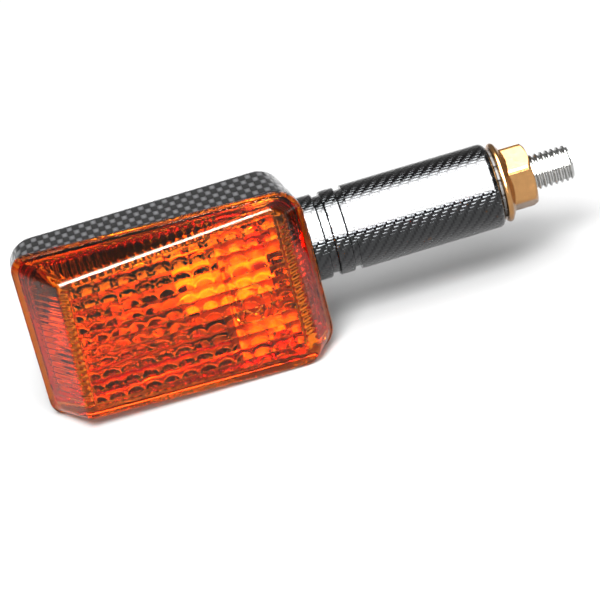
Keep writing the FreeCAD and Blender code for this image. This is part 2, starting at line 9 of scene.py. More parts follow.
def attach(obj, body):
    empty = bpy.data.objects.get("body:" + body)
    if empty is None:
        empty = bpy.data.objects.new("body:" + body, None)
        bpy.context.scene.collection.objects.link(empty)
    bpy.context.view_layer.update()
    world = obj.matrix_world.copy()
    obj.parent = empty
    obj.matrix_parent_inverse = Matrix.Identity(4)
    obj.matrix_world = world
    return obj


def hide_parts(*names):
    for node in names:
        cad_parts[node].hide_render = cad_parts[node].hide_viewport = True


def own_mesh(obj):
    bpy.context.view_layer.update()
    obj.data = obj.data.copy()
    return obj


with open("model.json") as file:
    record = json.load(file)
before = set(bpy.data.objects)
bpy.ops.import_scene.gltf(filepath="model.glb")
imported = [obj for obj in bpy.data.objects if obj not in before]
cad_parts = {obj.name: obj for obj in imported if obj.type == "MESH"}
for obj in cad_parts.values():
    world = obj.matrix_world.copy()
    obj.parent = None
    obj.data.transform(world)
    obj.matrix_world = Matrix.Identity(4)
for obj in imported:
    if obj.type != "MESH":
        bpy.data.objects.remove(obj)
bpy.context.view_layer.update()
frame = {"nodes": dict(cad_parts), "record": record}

MM = 0.001

# --- the part's dimensions, in mm --------------------------------------------------------------
HEAD_IN_X = -43.4
HEAD_OUT_X = -107.3
HEAD_Z = -1.5
HEAD_HALF_HEIGHT = 19.5
PARTING_OUT_Y = -3.9
PARTING_SLOPE = (-10.2 - PARTING_OUT_Y) / (HEAD_IN_X - HEAD_OUT_X)
FACE_Y = -17.5
CORNER_OUT_R = 3.6
CORNER_IN_R = 5.6
FACE_OUT_INSET = (7.2, 8.5)     # of the face from the outline at the outer end, below and above
FACE_IN_INSET = 4.4
FACE_HALF_HEIGHT = (17.0, 15.9, 19.5)    # outer end's lower and upper half, stalk end
FACE_CORNER_R = (1.0, 3.6, 3.6, 1.0)
POST_X = -54.6                  # the lens's two screw posts
POST_AWAY = 12.8                # from the middle of the head
STALK_R = 9.5
PITCH = 1.25                    # of the stud's thread
BULB_Y = -2.8                   # of the bulb's axis, which is at the height of the head's middle

# --- meshes --------------------------------------------------------------------------------------
def mesh_object(name, verts, faces, sharp_deg=35.0):
    """A closed mesh from points in mm."""
    mesh = bpy.data.meshes.new(name)
    mesh.from_pydata((np.asarray(verts, float) * MM).tolist(), [], faces)
    mesh.validate()
    mesh.shade_smooth()
    mesh.set_sharp_from_angle(angle=math.radians(sharp_deg))
    obj = bpy.data.objects.new(name, mesh)
    bpy.context.scene.collection.objects.link(obj)
    return obj


def turns(steps):
    """Angles of evenly spaced steps round a circle."""
    return np.arange(steps) * 2 * math.pi / steps


def ring_faces(first, count, levels, wrap=False, flip=False):
    """Quads between successive rings of count points each."""
    faces = []
    pairs = levels if wrap else levels - 1
    for i in range(pairs):
        a = first + i * count
        b = first + ((i + 1) % levels) * count
        for j in range(count):
            k = (j + 1) % count
            quad = (a + j, a + k, b + k, b + j)
            faces.append(quad[::-1] if flip else quad)
    return faces


def radial(name, levels, steps, sharp_deg):
    """A ring-shaped body about the X axis: levels are (x, radius or array of radii) round its section."""
    angles = turns(steps)
    verts = []
    for x, r in levels:
        r = np.broadcast_to(np.asarray(r, float), angles.shape)
        verts.append(np.stack([np.full(steps, float(x)), r * np.cos(angles), r * np.sin(angles)], axis=1))
    faces = ring_faces(0, steps, len(levels), wrap=True)
    return mesh_object(name, np.concatenate(verts), faces, sharp_deg)


# --- outlines of the head -----------------------------------------------------------------------
ARC = 10                        # steps in half a corner
SIDE_U = 250                    # steps along the top and the bottom, corner halves included
SIDE_V = 156                    # steps along the ends


def outline(corners, radii):
    """Points round a four-cornered outline in (x, z), from the middle of the first corner."""
    corners = [np.array(c, float) for c in corners]
    arcs = []
    for i, corner in enumerate(corners):
        before = corners[i - 1] - corner
        after = corners[(i + 1) % 4] - corner
        before /= np.linalg.norm(before)
        after /= np.linalg.norm(after)
        half = math.acos(float(before @ after)) / 2
        bisector = (before + after) / np.linalg.norm(before + after)
        centre = corner + bisector * radii[i] / math.sin(half)
        start = corner + before * radii[i] / math.tan(half) - centre
        stop = corner + after * radii[i] / math.tan(half) - centre
        a0 = math.atan2(start[1], start[0])
        turn = (math.atan2(stop[1], stop[0]) - a0 + math.pi) % (2 * math.pi) - math.pi
        share = np.linspace(0, 1, 2 * ARC + 1)
        angles = a0 + turn * share
        arcs.append(centre + radii[i] * np.stack([np.cos(angles), np.sin(angles)], axis=1))
    points = []
    for i, steps in enumerate((SIDE_U, SIDE_V, SIDE_U, SIDE_V)):
        this, following = arcs[i], arcs[(i + 1) % 4]
        points.append(this[ARC:-1])
        share = np.linspace(0, 1, steps - 2 * ARC + 1)[:-1, None]
        points.append(this[-1] * (1 - share) + following[0] * share)
        points.append(following[:ARC])
    return np.concatenate(points)


def head_ring(inset, offset, least_r=1.5):
    """The head's outline on the slanted parting plane moved by offset, shrunk by inset."""
    half = HEAD_HALF_HEIGHT - inset
    x_out, x_in = HEAD_OUT_X + inset, HEAD_IN_X - inset
    corners = [(x_out, HEAD_Z - half), (x_in, HEAD_Z - half), (x_in, HEAD_Z + half), (x_out, HEAD_Z + half)]
    radii = [max(r - inset, least_r) for r in (CORNER_OUT_R, CORNER_IN_R, CORNER_IN_R, CORNER_OUT_R)]
    flat = outline(corners, radii)
    depth = PARTING_OUT_Y + (flat[:, 0] - HEAD_OUT_X) * PARTING_SLOPE + offset
    return np.stack([flat[:, 0], depth, flat[:, 1]], axis=1)


def face_ring(inset, y):
    """The outline of the lens's front face, shrunk by inset."""
    x_low, x_high = (HEAD_OUT_X + i + inset for i in FACE_OUT_INSET)
    x_in = HEAD_IN_X - FACE_IN_INSET - inset
    below, above, in_half = (h - inset for h in FACE_HALF_HEIGHT)
    corners = [(x_low, HEAD_Z - below), (x_in, HEAD_Z - in_half), (x_in, HEAD_Z + in_half),
               (x_high, HEAD_Z + above)]
    flat = outline(corners, [max(r - inset, 0.6) for r in FACE_CORNER_R])
    return np.stack([flat[:, 0], np.full(len(flat), float(y)), flat[:, 1]], axis=1)


# --- lens ------------------------------------------------------------------------------------------
RIM = -0.3                      # back of the lens's rim, from the parting plane
FLUTE_OUT = 1.5                 # flute pitch on the two ends
FLUTE_TOP = 1.85                # and on the top and the bottom
FLUTE_DEPTH = (0.25, 0.45)      # on the two ends, on the top and the bottom
PILLOW = (4.1, 2.85)            # size of a pillow inside the face, along X and Z
PILLOW_RISE = (0.40, 0.34)      # of its crown, across X and Z
MOON = 1.0                      # height of the half-moon facet at a pillow's lower edge, in half pillows
MOON_SLOPE = 0.75
FACE_THICK = 2.9                # at the crest of a pillow
FACE_EDGE_R = 0.9               # rounding of the face's outer edge
# of the rim outside and of the lip inside it: inset from the outline, and y from RIM or the parting plane
SKIRT = ((0.5, 0.0), (0.12, -0.06), (0.0, -0.3), (0.0, -1.4), (0.06, -1.54))
LIP = ((4.5, RIM - 0.8), (4.5, 1.4), (4.3, 1.6), (3.7, 1.6), (3.5, 1.4), (3.5, RIM))
PLAIN_X = -62.1                 # the top has no flutes on the stalk's side of this
MARK = (-59.3, -3.8)            # middle of the moulded rings
MARK_RINGS = ((2.2, 0.3), (4.4, 0.35))    # radius and rise
MARK_WIDTH = 0.28
POST_STEPS = 40
# radius and y round a post's section
POST_SECTION = ((1.45, -8.5), (1.45, 0.6), (1.6, 0.7), (2.6, 0.7), (2.8, 0.5), (2.8, FACE_Y + 2.4))


def side_of_points():
    """For each point of an outline, its side and its steps from a corner's arc.

    The sides are 0 bottom, 1 stalk end, 2 top and 3 outer end.
    """
    sides = []
    away = []
    for side, steps in enumerate((SIDE_U, SIDE_V, SIDE_U, SIDE_V)):
        sides += [side] * steps
        away += [min(i, steps - i) - ARC for i in range(steps)]
    return np.array(sides), np.array(away, float)


def smooth(low, high, value):
    share = np.clip((value - low) / (high - low), 0, 1)
    return share * share * (3 - 2 * share)


def lobes(place, pitch):
    """Rounded ridges with sharp valleys between them, from 0 in a valley to 1 on a crest."""
    return np.abs(np.sin(np.pi * place / pitch))


def fluted(ring, share):
    """The lens's inner wall at share of the way from rim (0) to face (1), hollowed between its flutes."""
    sides, away = side_of_points()
    x, z = ring[:, 0], ring[:, 2]
    across = (sides == 0) | (sides == 2)
    height = np.where(across, lobes(x - PLAIN_X, FLUTE_TOP), lobes(z - HEAD_Z, FLUTE_OUT))
    fade = smooth(0, 6, away) * smooth(0.12, 0.2, share) * (1 - smooth(0.93, 0.98, share))
    fade = fade * np.where(sides == 2, 1 - smooth(PLAIN_X - 0.1, PLAIN_X + 0.1, x), 1.0)
    depth = np.where(across, FLUTE_DEPTH[1], FLUTE_DEPTH[0]) * (1 - height) * fade
    out = np.zeros_like(ring)
    out[:, 0] = np.where(sides == 1, depth, np.where(sides == 3, -depth, 0))
    out[:, 2] = np.where(sides == 2, depth, np.where(sides == 0, -depth, 0))
    return ring + out


def pillow_height(x, z, edge_distance):
    """Relief of the inside of the face."""
    u = ((x - PLAIN_X) / PILLOW[0]) % 1 * 2 - 1
    v = ((z - HEAD_Z) / PILLOW[1]) % 1 * 2 - 1
    dome = PILLOW_RISE[0] * (1 - u * u) + PILLOW_RISE[1] * (1 - v * v)
    arc = -1 + MOON * np.sqrt(np.clip(1 - (u / 0.92) ** 2, 0, None))
    dome = dome - MOON_SLOPE * np.clip(arc - v, 0, None) * PILLOW[1] / 2
    crest = sum(PILLOW_RISE)
    height = crest + (dome - crest) * smooth(0.1, 0.5, edge_distance)
    r = np.hypot(x - MARK[0], z - MARK[1])
    for radius, rise in MARK_RINGS:
        height = height + rise * np.exp(-((r - radius) / MARK_WIDTH) ** 2)
    return height


def coons(ring):
    """A grid of points that fills a ring: (SIDE_U + 1) x (SIDE_V + 1)."""
    bottom = ring[:SIDE_U + 1]
    right = ring[SIDE_U:SIDE_U + SIDE_V + 1]
    top = ring[SIDE_U + SIDE_V:2 * SIDE_U + SIDE_V + 1][::-1]
    left = np.concatenate([ring[2 * SIDE_U + SIDE_V:], ring[:1]])[::-1]
    u = np.linspace(0, 1, SIDE_U + 1)[:, None, None]
    v = np.linspace(0, 1, SIDE_V + 1)[None, :, None]
    along = bottom[:, None] * (1 - v) + top[:, None] * v
    across = left[None, :] * (1 - u) + right[None, :] * u
    low = (1 - u) * bottom[0] + u * bottom[-1]
    high = (1 - u) * top[0] + u * top[-1]
    return along + across - (low * (1 - v) + high * v)


def rounded_turn(edge, before, after, radius, steps):
    """Rings that round the edge between two walls, from before's side to after's side."""
    def unit(v):
        return v / np.linalg.norm(v, axis=1)[:, None]

    back, on = unit(before - edge), unit(after - edge)
    rings = []
    for s in np.linspace(0, 1, steps + 1):
        rings.append(edge + back * radius * (1 - s) ** 2 + on * radius * s ** 2)
    return rings


def lens_rings():
    """The lens's rings: the outside from the rim to the face, and the inside from the face to the rim."""
    base = head_ring(0.4, RIM - 1.6)
    face = face_ring(0.0, FACE_Y)
    outer = [head_ring(inset, RIM + offset) for inset, offset in SKIRT]
    turn = rounded_turn(face, base, face_ring(1.5, FACE_Y), FACE_EDGE_R, 8)
    outer += [base + (turn[0] - base) * s for s in np.linspace(0, 0.97, 7)] + turn
    inner_face = face_ring(2.1, FACE_Y + FACE_THICK)
    inner_base = head_ring(2.6, RIM - 0.9)
    walls = [fluted(inner_face + (inner_base - inner_face) * s, 1 - s) for s in np.linspace(0.0, 1.0, 30)]
    lip = [head_ring(inset, offset, 3.4) for inset, offset in LIP]
    return outer, walls + lip


def face_inside(edge, first, spare):
    """The pillowed inside of the face: its points, and quads that join them to the edge.

    first is the index of the edge's first point, and spare that of the first new point.
    """
    grid = coons(edge)
    x, z = grid[:, :, 0], grid[:, :, 2]
    away = np.minimum.reduce([x - x[:1], x[-1:] - x, z - z[:, :1], z[:, -1:] - z])
    grid[:, :, 1] += (pillow_height(x, z, away) - sum(PILLOW_RISE)) * smooth(0.0, 0.5, away)
    index = np.zeros((SIDE_U + 1, SIDE_V + 1), int)
    index[:, 0] = first + np.arange(SIDE_U + 1)
    index[-1, :] = first + SIDE_U + np.arange(SIDE_V + 1)
    index[:, -1] = (first + SIDE_U + SIDE_V + np.arange(SIDE_U + 1))[::-1]
    index[0, :] = np.append(first + 2 * SIDE_U + SIDE_V + np.arange(SIDE_V), first)[::-1]
    inside = grid[1:-1, 1:-1].reshape(-1, 3)
    index[1:-1, 1:-1] = spare + np.arange(len(inside)).reshape(SIDE_U - 1, SIDE_V - 1)
    a, b, c, d = index[:-1, :-1], index[1:, :-1], index[1:, 1:], index[:-1, 1:]
    return inside, np.stack([a, d, c, b], axis=-1).reshape(-1, 4).tolist()


def lens_post(z, first):
    """A screw post with a blind bore, as points and faces, from the bore's bottom to the face."""
    angles = turns(POST_STEPS)
    rings = []
    for r, y in POST_SECTION:
        x = POST_X + r * np.cos(angles)
        rings.append(np.stack([x, np.full(POST_STEPS, y), z + r * np.sin(angles)], axis=1))
    last = first + POST_STEPS * len(rings)
    faces = ring_faces(first, POST_STEPS, len(rings), flip=True)
    faces.append(tuple(range(first, first + POST_STEPS)))
    faces.append(tuple(range(last - POST_STEPS, last))[::-1])
    return np.concatenate(rings), faces


def build_lens():
    outer, inner = lens_rings()
    count = len(outer[0])
    first = len(outer) * count
    last = first + (len(inner) - 1) * count
    points = [np.concatenate(outer + inner)]
    faces = ring_faces(0, count, len(outer)) + ring_faces(first, count, len(inner))
    faces += [(last + j, last + (j + 1) % count, (j + 1) % count, j) for j in range(count)]
    faces.append(tuple(range(first - count, first)))
    spare = last + count
    inside, quads = face_inside(inner[0], first, spare)
    points.append(inside)
    faces += quads
    spare += len(inside)
    for z in (HEAD_Z - POST_AWAY, HEAD_Z + POST_AWAY):
        post, post_faces = lens_post(z, spare)
        points.append(post)
        faces += post_faces
        spare += len(post)
    return mesh_object("amber_lens", np.concatenate(points), faces, 48.0)


# --- stud and nut ----------------------------------------------------------------------------------
THREAD_STEPS = 96
THREAD_R = 3.97                 # at the crests
THREAD_DEPTH = 0.6
THREAD_GAP = 0.07               # between the nut's thread and the stud's
STUD_X = (-50.7, 17.5)
STUD_R = 3.86
STUD_BORE = 2.22
RECESS = (-47.8, 3.15)          # the wider start of the bore: its end and its radius
FLATS_X = (-36.02, -11.98)      # the two flats inside the stalk
FLATS_HALF = 3.39               # half the size across them
NUT_STEPS = 240
NUT_X = (0.5, 8.1)
NUT_ACROSS = 13.0               # across its flats
NUT_TURN = math.radians(24.0)
NUT_CROWN = 1.2                 # length of the chamfer at its free end
FLANGE_R = 8.2                  # without its round rim
FLANGE_RIM = 0.75


def thread_radius(x, angles, major, depth):
    """Radius of a helical thread at x."""
    phase = ((x / PITCH) - angles / (2 * math.pi)) % 1.0
    rise = np.abs(phase - 0.5) * 2
    return major - depth * (1 - smooth(0.12, 0.86, rise))


def build_stud():
    angles = turns(THREAD_STEPS)
    flats = np.minimum(STUD_R, FLATS_HALF / np.maximum(np.abs(np.cos(angles)), 0.01))
    start, end = STUD_X
    levels = [(start, RECESS[1]), (start, 3.7), (start + 0.2, STUD_R)]
    levels += [(FLATS_X[0], STUD_R), (FLATS_X[0], flats), (FLATS_X[1], flats), (FLATS_X[1], STUD_R)]
    levels.append((0.0, STUD_R))
    for x in np.arange(0.05, 17.46, PITCH / 16):
        crest = STUD_R if x < 0.7 else THREAD_R
        point = min(crest, 3.3 + (end - x) * 0.95)
        levels.append((float(x), np.minimum(thread_radius(x, angles, crest, THREAD_DEPTH), point)))
    levels += [(end, 3.1), (end, 2.45), (17.3, STUD_BORE), (RECESS[0], STUD_BORE), RECESS]
    return radial("threaded_stud", levels, THREAD_STEPS, 40.0)


def flange(x):
    """Radius of the nut's flange at x: a round rim, then a cone that runs into the hexagon."""
    away = x - NUT_X[0]
    if away < 2 * FLANGE_RIM - 0.12:
        return FLANGE_R + FLANGE_RIM * math.sqrt(max(0.0, 1 - ((FLANGE_RIM - away) / FLANGE_RIM) ** 2))
    return FLANGE_R + 0.4 - (away - 2 * FLANGE_RIM + 0.12) * 1.7


def build_nut():
    seat, top = NUT_X
    angles = turns(NUT_STEPS)
    sector = ((angles - NUT_TURN) % (math.pi / 3)) - math.pi / 6
    hexagon = NUT_ACROSS / 2 / np.cos(sector) - 0.10 * smooth(0.44, 0.5236, np.abs(sector))
    corner_r = NUT_ACROSS / 2 / math.cos(math.pi / 6) + 0.1
    levels = [(seat, 4.5), (seat, 8.0)]
    xs = list(np.linspace(seat + 0.02, seat + 1.5, 22)) + list(np.linspace(seat + 1.55, seat + 2.7, 10))
    xs += list(np.linspace(seat + 2.8, top - 1.3, 8)) + list(np.linspace(top - NUT_CROWN, top, 16))
    for x in xs:
        chamfer = max(0.0, (x - (top - NUT_CROWN)) / NUT_CROWN)
        bar = np.minimum(hexagon, corner_r - 1.15 * chamfer ** 1.3)
        levels.append((x, np.maximum(bar, flange(x))))
    levels.append((top, 4.75))
    for x in np.linspace(top - 0.25, seat + 0.3, 98):
        thread = thread_radius(x, angles, THREAD_R, THREAD_DEPTH) + THREAD_GAP
        lead = max(4.6 - (top - x) * 0.9, 4.4 - (x - seat) * 0.9)
        levels.append((float(x), np.maximum(thread, lead)))
    return radial("flange_nut", levels, NUT_STEPS, 34.0)


# --- socket spring ---------------------------------------------------------------------------------
SPRING_X = (-57.65, -54.55)
COIL_R = 4.6
WIRE_R = 0.3
COILS = 3
COIL_STEPS = 40                 # in each turn of the coil
WIRE_STEPS = 12                 # round the wire


def build_spring():
    """A coil of round wire about the bulb's axis, with capped ends."""
    steps = COIL_STEPS * COILS
    around = turns(WIRE_STEPS)
    start = SPRING_X[0] + WIRE_R
    length = SPRING_X[1] - SPRING_X[0] - 2 * WIRE_R
    rings = []
    for s in np.linspace(0, 1, steps + 1):
        angle = 2 * math.pi * COILS * s
        x = start + length * s + WIRE_R * np.cos(around)
        r = COIL_R + WIRE_R * np.sin(around)
        rings.append(np.stack([x, BULB_Y - r * math.sin(angle), HEAD_Z + r * math.cos(angle)], axis=1))
    faces = ring_faces(0, WIRE_STEPS, len(rings))
    faces.append(tuple(range(WIRE_STEPS))[::-1])
    faces.append(tuple(range(steps * WIRE_STEPS, (steps + 1) * WIRE_STEPS)))
    return mesh_object("socket_spring", np.concatenate(rings), faces, 50.0)


# --- materials ---------------------------------------------------------------------------------------
HOUSING_WALL = (1.4, 1.1, 1.2)  # at the top and the bottom, the stalk end and the outer end
HOUSING_DRAFT = 0.098           # the walls' taper, from y = -7
HOUSING_BACK_Y = 9.4            # inside of the back wall
PAINTED_LIGHT_Z = -3.0                   # the inner faces are painted pale below this, painted light from above
PAINTED_LIGHT_END = (4.0, 14.0)          # and up to 14 mm higher in the 4 mm next to the outer end


class Nodes:
    """Short calls for building the node tree of a material or a world."""

    def __init__(self, owner):
        owner.use_nodes = True
        self.owner = owner
        self.tree = owner.node_tree
        self.shader = self.tree.nodes.get("Principled BSDF")

    def add(self, kind, **settings):
        node = self.tree.nodes.new(kind)
        for key, value in settings.items():
            setattr(node, key, value)
        return node

    def link(self, source, target):
        self.tree.links.new(source, target)

    def feed(self, value, socket):
        if hasattr(value, "is_output"):
            self.link(value, socket)
        else:
            socket.default_value = value

    def math(self, operation, *values, clamp=False):
        node = self.add("ShaderNodeMath", operation=operation, use_clamp=clamp)
        for value, socket in zip(values, node.inputs):
            self.feed(value, socket)
        return node.outputs[0]

    def vector(self, operation, *values):
        node = self.add("ShaderNodeVectorMath", operation=operation)
        for value, socket in zip(values, node.inputs):
            self.feed(value, socket)
        return node.outputs[0]

    def position(self, scale):
        """Place in the part's own frame, in mm times scale."""
        place = self.add("ShaderNodeTexCoord").outputs["Object"]
        node = self.add("ShaderNodeVectorMath", operation="SCALE")
        self.link(place, node.inputs[0])
        node.inputs["Scale"].default_value = 1000.0 * scale
        return node.outputs[0]

    def noise(self, where, scale=1.0, detail=3.0, rough=0.5):
        node = self.add("ShaderNodeTexNoise")
        self.link(where, node.inputs["Vector"])
        node.inputs["Scale"].default_value = scale
        node.inputs["Detail"].default_value = detail
        node.inputs["Roughness"].default_value = rough
        return node.outputs[0]

    def map(self, value, from_low, from_high, to_low, to_high):
        node = self.add("ShaderNodeMapRange")
        self.feed(value, node.inputs[0])
        for socket, number in zip(node.inputs[1:5], (from_low, from_high, to_low, to_high)):
            self.feed(number, socket)
        return node.outputs[0]

    def mix(self, share, first, second):
        node = self.add("ShaderNodeMix", data_type="RGBA")
        self.feed(share, node.inputs[0])
        self.feed(first, node.inputs[6])
        self.feed(second, node.inputs[7])
        return node.outputs[2]

    def bump(self, height, distance_mm):
        node = self.add("ShaderNodeBump")
        node.inputs["Strength"].default_value = 1.0
        node.inputs["Distance"].default_value = distance_mm * MM
        self.link(height, node.inputs["Height"])
        self.link(node.outputs[0], self.shader.inputs["Normal"])

    def set(self, **values):
        for key, value in values.items():
            self.feed(value, self.shader.inputs[key.replace("_", " ")])


def new_material(name):
    return Nodes(bpy.data.materials.new(name))


def rgb(r, g, b):
    return (r, g, b, 1.0)


def metal(name, colour, roughness, wear=0.1, scratch_mm=0.02):
    """Metal with cloudy darker patches and fine scratches."""
    m = new_material(name)
    place = m.position(1.0)
    cloud = m.noise(place, scale=0.55, detail=4.0, rough=0.6)
    fine = m.noise(place, scale=6.0, detail=3.0, rough=0.6)
    dark = tuple(c * (1 - wear * 2.5) for c in colour[:3]) + (1.0,)
    m.set(Base_Color=m.mix(m.map(cloud, 0.35, 0.65, 0.0, 1.0), dark, colour), Metallic=1.0)
    m.set(Roughness=m.map(fine, 0.3, 0.7, roughness * 0.8, roughness * 1.25))
    m.bump(fine, scratch_mm)
    return m.owner


def plastic(name, colour, roughness, grain_mm=0.01):
    """Plastic, rubber or paint, a little uneven in colour and gloss."""
    m = new_material(name)
    place = m.position(1.0)
    cloud = m.noise(place, scale=0.4, detail=3.0, rough=0.5)
    grain = m.noise(place, scale=8.0, detail=2.0, rough=0.6)
    light = tuple(min(1.0, c * 1.35 + 0.004) for c in colour[:3]) + (1.0,)
    m.set(Base_Color=m.mix(cloud, colour, light))
    m.set(Roughness=m.map(grain, 0.3, 0.7, roughness * 0.85, roughness * 1.15))
    m.bump(grain, grain_mm)
    return m.owner


def weave(m, u, v, cells, tow, stretch):
    """Where the warp is on top, and the place along and across a float, along u and along v.

    A float runs from -1 to 1 along its tow and from -0.5 to 0.5 across it.
    """
    a = m.math("DIVIDE", u, tow)
    b = m.math("DIVIDE", v, tow * stretch)
    ia, ib = m.math("FLOOR", a), m.math("FLOOR", b)

    def wrapped(value, shift):
        return m.math("FLOORED_MODULO", m.math("ADD", value, shift), 2.0 * cells)

    warp = m.math("LESS_THAN", wrapped(m.math("SUBTRACT", ia, ib), 0.0), cells - 0.5)
    along_v = wrapped(m.math("SUBTRACT", b, ia), 1.5 * cells - 1.0)
    along_v = m.math("MULTIPLY", m.math("SUBTRACT", along_v, float(cells)), 2.0 / cells)
    along_u = wrapped(m.math("SUBTRACT", a, ib), float(cells))
    along_u = m.math("MULTIPLY", m.math("SUBTRACT", along_u, cells / 2), 2.0 / cells)
    cross_u = m.math("SUBTRACT", m.math("FRACT", a), 0.5)
    cross_v = m.math("SUBTRACT", m.math("FRACT", b), 0.5)
    return warp, along_u, along_v, cross_u, cross_v


def carbon(name, u_v, cells, tow, stretch, arch_mm, crown_mm, greys, roughness, painted_light=None):
    """A weave of tows under a gloss coat. Each float arches over its cells, and each tow is crowned.

    cells is how many tows a float passes over: 1 is a plain weave, 2 a twill. arch_mm is how far a float
    bends down at its ends. crown_mm is four times its fall at its sides, first for the warp, which runs
    along v, then for the other tows. greys and roughness are the looks of those two. The warp's colour
    shades from greys[0] in the middle of each float to greys[1] at its sides and ends; where greys[0] is
    the lighter, that is a painted highlight on the float's crown. The last argument marks the inner
    faces that are painted a pale grey, painted light from above on the lower inner faces.
    """
    m = new_material(name)
    u, v = u_v(m)
    warp, along_u, along_v, cross_u, cross_v = weave(m, u, v, cells, tow, stretch)

    def arch(along, cross, crown):
        long_way = m.math("MULTIPLY", m.math("MULTIPLY", along, along), -arch_mm)
        return m.math("ADD", long_way, m.math("MULTIPLY", m.math("MULTIPLY", cross, cross), -crown))

    height = m.math("ADD", m.math("MULTIPLY", warp, arch(along_v, cross_u, crown_mm[0])),
                    m.math("MULTIPLY", m.math("SUBTRACT", 1.0, warp), arch(along_u, cross_v, crown_mm[1])))
    # Painted highlight: fade lets the warp's colour shade off towards its tow's sides and ends, as light
    # falls on a rounded tow.
    fade = m.math("SUBTRACT", 1.0, m.math("MULTIPLY", m.math("MULTIPLY", cross_u, cross_u), 4.0))
    fade = m.math("MULTIPLY", fade, m.math("SUBTRACT", 1.0, m.math("MULTIPLY", along_v, along_v)))
    grey = m.mix(m.math("MULTIPLY", warp, fade, clamp=True), greys[1], greys[0])
    speck = m.map(m.noise(m.position(1.0), scale=9.0, detail=2.0, rough=0.7), 0.3, 0.7, 0.8, 1.2)
    rough = m.math("MULTIPLY", m.map(warp, 0.0, 1.0, roughness[1], roughness[0]), speck)
    metallic = 1.0
    if painted_light:
        inside = painted_light(m)
        # Painted light: the marked inner faces are painted pale grey, matt and not metal, as if lit from
        # above.
        grey = m.mix(inside, grey, rgb(0.28, 0.26, 0.245))
        rough = m.math("MAXIMUM", rough, m.math("MULTIPLY", inside, 0.5))
        metallic = m.math("SUBTRACT", 1.0, inside)
    m.set(Base_Color=grey, Metallic=metallic, Roughness=rough)
    m.shader.inputs["Coat Weight"].default_value = 0.5
    m.shader.inputs["Coat Roughness"].default_value = 0.03
    m.link(m.add("ShaderNodeNewGeometry").outputs["Normal"], m.shader.inputs["Coat Normal"])
    m.bump(height, 1.0)
    return m.owner


def round_stalk(m):
    """Along the stalk, and round it in mm with a whole number of repeats."""
    parts = m.add("ShaderNodeSeparateXYZ")
    m.link(m.position(1.0), parts.inputs[0])
    angle = m.math("ARCTAN2", parts.outputs["Y"], parts.outputs["Z"])
    return parts.outputs["X"], m.math("MULTIPLY", angle, STALK_R)


def over_housing(m):
    """Flat coordinates on whichever side of the housing this is."""
    place = m.add("ShaderNodeSeparateXYZ")
    m.link(m.position(1.0), place.inputs[0])
    facing = m.add("ShaderNodeSeparateXYZ")
    local = m.add("ShaderNodeTexCoord").outputs["Normal"]
    m.link(m.vector("ABSOLUTE", local), facing.inputs[0])
    x, y, z = place.outputs
    top = m.math("GREATER_THAN", facing.outputs["Z"], facing.outputs["X"])
    side_u = m.math("ADD", m.math("MULTIPLY", top, x), m.math("MULTIPLY", m.math("SUBTRACT", 1.0, top), z))
    back = m.math("GREATER_THAN", facing.outputs["Y"], 0.75)
    front = m.math("SUBTRACT", 1.0, back)
    u = m.math("ADD", m.math("MULTIPLY", front, side_u), m.math("MULTIPLY", back, x))
    v = m.math("ADD", m.math("MULTIPLY", front, y), m.math("MULTIPLY", back, z))
    return u, v


def painted_light_in_housing(m):
    """1 on the inner faces of the housing's outer end and lower half, 0 elsewhere: where pale painted light
    from above is laid on the inner faces.
    """
    place = m.add("ShaderNodeSeparateXYZ")
    m.link(m.position(1.0), place.inputs[0])
    x, y, z = place.outputs
    draft = m.math("MULTIPLY", m.math("ADD", y, 7.0), HOUSING_DRAFT)
    reach = m.math("ADD", m.math("ABSOLUTE", m.math("SUBTRACT", z, HEAD_Z)), draft)
    upright = m.math("LESS_THAN", reach, HEAD_HALF_HEIGHT - HOUSING_WALL[0])
    near = m.math("LESS_THAN", m.math("ADD", x, draft), HEAD_IN_X - HOUSING_WALL[1])
    far = m.math("GREATER_THAN", x, HEAD_OUT_X + HOUSING_WALL[2])
    ahead = m.math("LESS_THAN", y, HOUSING_BACK_Y)
    at_end = m.math("LESS_THAN", x, HEAD_OUT_X + PAINTED_LIGHT_END[0])
    low = m.math("LESS_THAN", z, m.math("ADD", m.math("MULTIPLY", at_end, PAINTED_LIGHT_END[1]), PAINTED_LIGHT_Z))
    held = m.math("MULTIPLY", m.math("MULTIPLY", upright, near), m.math("MULTIPLY", far, ahead))
    return m.math("MULTIPLY", held, low)


def amber():
    """Clear amber plastic. The tinted specular dims what its faces mirror."""
    m = new_material("amber_lens")
    place = m.position(1.0)
    fine = m.noise(place, scale=0.8, detail=2.0, rough=0.5)
    deep, bright = rgb(0.86, 0.155, 0.003), rgb(0.86, 0.185, 0.006)
    m.set(Base_Color=m.mix(m.map(fine, 0.3, 0.7, 0.0, 1.0), deep, bright))
    m.set(Roughness=m.map(fine, 0.3, 0.7, 0.015, 0.05))
    m.shader.inputs["Transmission Weight"].default_value = 1.0
    m.shader.inputs["IOR"].default_value = 1.5
    m.shader.inputs["Specular Tint"].default_value = rgb(0.58, 0.46, 0.36)
    m.bump(m.noise(place, scale=1.6, detail=2.0, rough=0.5), 0.01)
    return m.owner


def glass():
    m = new_material("bulb_glass")
    cloud = m.noise(m.position(1.0), scale=0.5, detail=2.0, rough=0.5)
    m.set(Base_Color=rgb(0.97, 0.98, 0.98), Roughness=m.map(cloud, 0.3, 0.7, 0.0, 0.03))
    m.shader.inputs["Transmission Weight"].default_value = 1.0
    m.shader.inputs["IOR"].default_value = 1.45
    return m.owner


def paint(node, material):
    """Gives a CAD node its material."""
    mesh = frame["nodes"][node].data
    mesh.materials.clear()
    mesh.materials.append(material)


